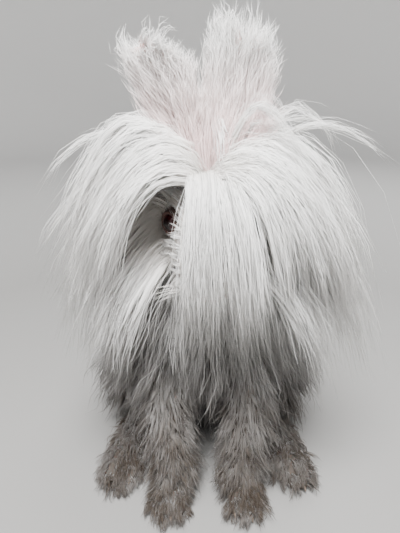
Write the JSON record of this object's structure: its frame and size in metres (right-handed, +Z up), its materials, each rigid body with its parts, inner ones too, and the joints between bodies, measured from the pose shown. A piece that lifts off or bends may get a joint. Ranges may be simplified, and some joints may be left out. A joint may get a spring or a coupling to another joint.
{
  "type": "angora rabbit model",
  "caption": "Life-size still model of a long-coated white rabbit sitting on the floor with raised head, upright tufted ears and a full fringe.",
  "frame": {"origin": "on the floor, under the middle of the model's bounding box", "axes": "+Z up, the rabbit faces -Y, its left side is at +X"},
  "size_m": [0.266, 0.3526, 0.3924],
  "materials": {
    "wool": "long soft white wool",
    "ear": "thin pink ear skin under white wool",
    "eye": "wet, deep ruby",
    "claw": "pale horn, satin"
  },
  "bodies": {
    "root": {"ear_left": "ear", "ear_right": "ear", "eye_left": "eye", "eye_right": "eye", "forefoot_left": "wool", "forefoot_left_claw_1": "claw", "forefoot_left_claw_2": "claw", "forefoot_left_claw_3": "claw", "forefoot_left_claw_4": "claw", "forefoot_right": "wool", "forefoot_right_claw_1": "claw", "forefoot_right_claw_2": "claw", "forefoot_right_claw_3": "claw", "forefoot_right_claw_4": "claw", "foreleg_left": "wool", "foreleg_right": "wool", "head": "wool", "hindfoot_left": "wool", "hindfoot_left_claw_1": "claw", "hindfoot_left_claw_2": "claw", "hindfoot_left_claw_3": "claw", "hindfoot_left_claw_4": "claw", "hindfoot_right": "wool", "hindfoot_right_claw_1": "claw", "hindfoot_right_claw_2": "claw", "hindfoot_right_claw_3": "claw", "hindfoot_right_claw_4": "claw", "neck": "wool", "rump": "wool", "tail": "wool", "thigh_left": "wool", "thigh_right": "wool", "torso": "wool"}
  },
  "joints": []
}
